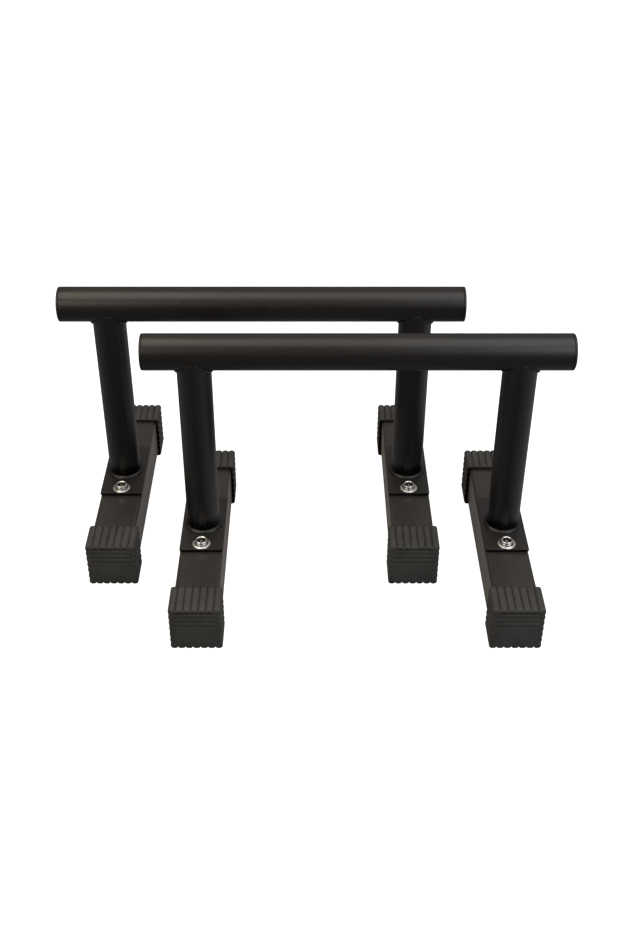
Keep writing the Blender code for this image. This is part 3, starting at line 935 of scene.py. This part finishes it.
def bolt_shape(node, seat):
    """A button-head screw with its head's underside at z = 0. seat is that side's height in the frame."""
    low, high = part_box(node)
    head_radius = (high.x - low.x) / 2
    head_height = high.z - seat
    length = seat - low.z
    socket_floor = head_height - SOCKET_DEPTH
    dish = head_height - HEAD_DISH_DEPTH
    bm = bmesh.new()

    def ring(radius_at, height):
        return add_ring(bm, [(radius_at(a) * cos(a), radius_at(a) * sin(a), height)
                             for a in angles(BOLT_STEPS)])

    def circle(radius, height):
        return ring(lambda angle: radius, height)

    def hexagonal(flats, height):
        return ring(lambda angle: hexagon_radius(angle, flats), height)

    def threaded(height):
        return ring(lambda angle: thread_radius(angle, height, SHANK_RADIUS), height)

    rings = [
        add_ring(bm, [(0.0, 0.0, socket_floor - SOCKET_CONE)]),
        circle(SOCKET_FLOOR_RADIUS, socket_floor - SOCKET_FLOOR_DROP),
        hexagonal(SOCKET_FLATS * SOCKET_FLOOR_SHARE, socket_floor),
        hexagonal(SOCKET_FLATS, socket_floor + SOCKET_FLOOR_EDGE),
        hexagonal(SOCKET_FLATS, dish - SOCKET_CHAMFER),
        circle(SOCKET_FLATS / sqrt(3) + SOCKET_CHAMFER, dish),
        circle(HEAD_DISH_RADIUS, dish),
    ]
    for share in CREST_SHARES:
        radius = HEAD_DISH_RADIUS + (HEAD_TOP_RADIUS - HEAD_DISH_RADIUS) * share
        rings.append(circle(radius, dish + HEAD_DISH_DEPTH * sin(share * pi / 2)))
    rings.append(circle(HEAD_TOP_RADIUS, head_height))
    for inset, drop in dome_arc(head_radius - HEAD_TOP_RADIUS, HEAD_DOME_HEIGHT):
        rings.append(circle(head_radius - inset, head_height - drop))
    rings += [
        circle(head_radius, HEAD_EDGE),
        circle(head_radius - HEAD_EDGE, 0.0),
        circle(SHANK_RADIUS + SHANK_EDGE, 0.0),
        circle(SHANK_RADIUS, -SHANK_EDGE),
    ]
    for step in range(ceil((length - THREAD_RUNOUT) / THREAD_PITCH * THREAD_STEPS)):
        height = -THREAD_START - step * THREAD_PITCH / THREAD_STEPS
        if height > THREAD_END - length:
            rings.append(threaded(height))
        else:
            rings.append(circle(SHANK_RADIUS - THREAD_DEPTH, height))
    rings.append(circle(SHANK_RADIUS - THREAD_DEPTH - TIP_TAPER, -length))
    rings.append(add_ring(bm, [(0.0, 0.0, -length)]))
    skin(bm, rings)
    return bm


def washer_shape(node):
    """A stamped washer on z = 0, flat under the bolt's head and lower outside a pressed line."""
    size = extent(node)
    outer = size.x / 2
    height = size.z
    shoulder = height - WASHER_FALL
    return turned(rounded_path([
        (WASHER_BORE_RADIUS, 0.0, WASHER_EDGE),
        (outer, 0.0, WASHER_EDGE),
        (outer, shoulder, WASHER_ROLL),
        (WASHER_STEP + WASHER_EDGE, shoulder + WASHER_LINE, 0.0),
        (WASHER_STEP, height - WASHER_LINE, 0.0),
        (WASHER_SEAT, height, 0.0),
        (WASHER_BORE_RADIUS, height, WASHER_BORE_EDGE),
    ], steps=3), WASHER_STEPS, closed=True)


def nut_shape(node):
    """A hexagon nut with chamfered corners, on z = 0."""
    size = extent(node)
    flats = size.y
    height = size.z
    chamfer_start = flats / 2 * NUT_CHAMFER_SHARE
    bm = bmesh.new()

    def hexagonal(level, up):
        ring = []
        for a in angles(NUT_STEPS):
            radius = hexagon_radius(a, flats)
            drop = max(0.0, radius - chamfer_start) * tan(NUT_CHAMFER_ANGLE)
            ring.append((radius * cos(a), radius * sin(a), level - up * drop))
        return add_ring(bm, ring)

    def circle(radius, level):
        return add_ring(bm, [(radius * cos(a), radius * sin(a), level) for a in angles(NUT_STEPS)])

    skin(bm, [
        circle(NUT_BORE_RADIUS, NUT_EDGE),
        circle(NUT_BORE_RADIUS + NUT_EDGE, 0.0),
        circle(chamfer_start, 0.0),
        hexagonal(0.0, -1),
        hexagonal(height, 1),
        circle(chamfer_start, height),
        circle(NUT_BORE_RADIUS + NUT_EDGE, height),
        circle(NUT_BORE_RADIUS, height - NUT_EDGE),
    ], loop=True)
    return bm


def build_fasteners(bar, side, materials, meshes):
    for end in ENDS:
        spot = f"{side}_{end}"
        washer_node = f"{bar}_washer_{spot}"
        center = middle(washer_node)
        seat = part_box(washer_node)[1].z + GAP
        for kind in ("bolt", "washer", "nut"):
            node = f"{bar}_{kind}_{spot}"
            base = seat if kind == "bolt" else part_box(node)[0].z
            if kind not in meshes:
                if kind == "bolt":
                    shape = bolt_shape(node, seat)
                elif kind == "washer":
                    shape = washer_shape(node)
                else:
                    shape = nut_shape(node)
                piece = add_piece(f"{node}_fine", shape, (center.x, center.y, base), materials[kind])
                meshes[kind] = piece.data
            else:
                piece = place(f"{node}_fine", meshes[kind], (center.x, center.y, base))
            stand_for(piece, bar, node)


# ---- stage, lights and camera

def floor_sheet(name, height, tone, glow):
    """One large flat sheet of the floor, at a height, of one grey that may glow."""
    bm = bmesh.new()
    corners = ((-FLOOR_REACH, -FLOOR_REACH), (FLOOR_REACH, -FLOOR_REACH), (FLOOR_REACH, FLOOR_REACH),
               (-FLOOR_REACH, FLOOR_REACH))
    bm.faces.new([bm.verts.new((x, y, 0.0)) for x, y in corners])
    mesh = bpy.data.meshes.new(name)
    bm.to_mesh(mesh)
    bm.free()
    material = bpy.data.materials.new(f"{name}_paper")
    material.use_nodes = True
    shader = material.node_tree.nodes["Principled BSDF"]
    shader.inputs["Base Color"].default_value = (tone, tone, tone, 1.0)
    shader.inputs["Roughness"].default_value = FLOOR_ROUGHNESS
    shader.inputs["Emission Color"].default_value = (1.0, 1.0, 1.0, 1.0)
    shader.inputs["Emission Strength"].default_value = glow
    mesh.materials.append(material)
    sheet = bpy.data.objects.new(name, mesh)
    bpy.context.scene.collection.objects.link(sheet)
    sheet.location.z = height
    sheet.visible_glossy = False
    return sheet


def build_floor():
    """White paper for the camera, over a dim sheet that shades the object's undersides."""
    paper = floor_sheet("floor", FLOOR_HEIGHT, PAPER_TONE, FLOOR_GLOW)
    paper.visible_diffuse = False
    paper.visible_shadow = False
    shade = floor_sheet("floor_shade", FLOOR_HEIGHT - FLOOR_STEP, SHADE_TONE, 0.0)
    shade.visible_camera = False


def softbox(name, location, target, width, depth, radiance, color):
    data = bpy.data.lights.new(name, "AREA")
    data.shape = "RECTANGLE"
    data.size = width
    data.size_y = depth
    data.energy = radiance * pi * width * depth
    data.color = color
    light = bpy.data.objects.new(name, data)
    bpy.context.scene.collection.objects.link(light)
    light.location = location
    light.rotation_euler = (Vector(target) - Vector(location)).to_track_quat("-Z", "Y").to_euler()
    light.visible_camera = False


def build_world():
    """A dim studio that is lighter on its right, at its back, low down and at both sides, and white to the
    camera."""
    world = bpy.data.worlds.new("studio")
    bpy.context.scene.world = world
    world.use_nodes = True
    tree = world.node_tree
    direction = add_node(tree, "ShaderNodeTexCoord").outputs["Generated"]
    slope = add_node(tree, "ShaderNodeVectorMath", {0: direction, 1: STUDIO_SLOPE}, operation="DOT_PRODUCT")
    sideways = add_node(tree, "ShaderNodeSeparateXYZ", {"Vector": direction}).outputs["X"]
    squared = add_node(tree, "ShaderNodeMath", {0: sideways, 1: 2.0}, operation="POWER")
    sides = add_node(tree, "ShaderNodeMath", {0: squared.outputs[0], 1: STUDIO_SIDES, 2: STUDIO_LEVEL},
                     operation="MULTIPLY_ADD")
    level = add_node(tree, "ShaderNodeMath", {0: slope.outputs["Value"], 1: sides.outputs[0]},
                     operation="ADD")
    studio = tree.nodes["Background"]
    studio.inputs["Color"].default_value = (*STUDIO_COLOR, 1.0)
    tree.links.new(level.outputs[0], studio.inputs["Strength"])
    white = add_node(tree, "ShaderNodeBackground", {
        "Color": (1.0, 1.0, 1.0, 1.0), "Strength": BACKDROP_LEVEL})
    path = add_node(tree, "ShaderNodeLightPath")
    mix = add_node(tree, "ShaderNodeMixShader", {0: path.outputs["Is Camera Ray"],
                                                 1: studio.outputs[0], 2: white.outputs[0]})
    tree.links.new(mix.outputs[0], tree.nodes["World Output"].inputs["Surface"])


def build_lights():
    softbox("overhead_left", (-0.56, 0.0, 1.35), (-0.56, 0.0, 0.0), 0.80, 0.95, 2.9, (1.0, 0.88, 0.74))
    softbox("overhead_middle", (0.04, 0.0, 1.35), (0.04, 0.0, 0.0), 0.37, 0.95, 1.5, (1.0, 0.90, 0.83))
    softbox("overhead_right", (0.60, -0.1, 1.35), (0.60, -0.1, 0.0), 0.75, 1.15, 2.0, (0.98, 0.99, 1.0))
    softbox("high_back", (0.0, 1.35, 1.35), (0.0, 0.0, 0.25), 1.6, 0.7, 0.4, (1.0, 0.97, 0.94))
    softbox("front_left", (-0.95, -0.95, 1.0), (0.0, 0.0, 0.05), 0.9, 0.9, 3.4, (1.0, 0.92, 0.84))
    softbox("front_right", (0.95, -0.95, 1.0), (0.0, 0.0, 0.05), 0.9, 0.9, 3.4, (1.0, 1.0, 1.0))


def build_camera():
    data = bpy.data.cameras.new("camera")
    data.sensor_width = SENSOR
    data.lens = LENS
    camera = bpy.data.objects.new("camera", data)
    bpy.context.scene.collection.objects.link(camera)
    camera.location = CAMERA_PLACE
    camera.rotation_euler = (pi / 2 - CAMERA_PITCH, 0.0, 0.0)
    bpy.context.scene.camera = camera


def main():
    bpy.context.scene.view_settings.view_transform = "Standard"
    materials = make_materials()
    meshes = {}
    for bar_number, bar in enumerate(BARS):
        build_handle(bar, materials)
        for side_number, side in enumerate(SIDES):
            build_upright(bar, side, BAR_SEED * bar_number + SIDE_SEED * side_number, materials)
            build_foot_steel(bar, side, materials)
            build_caps(bar, side, materials, meshes)
            build_fasteners(bar, side, materials, meshes)
    build_floor()
    build_world()
    build_lights()
    build_camera()


main()
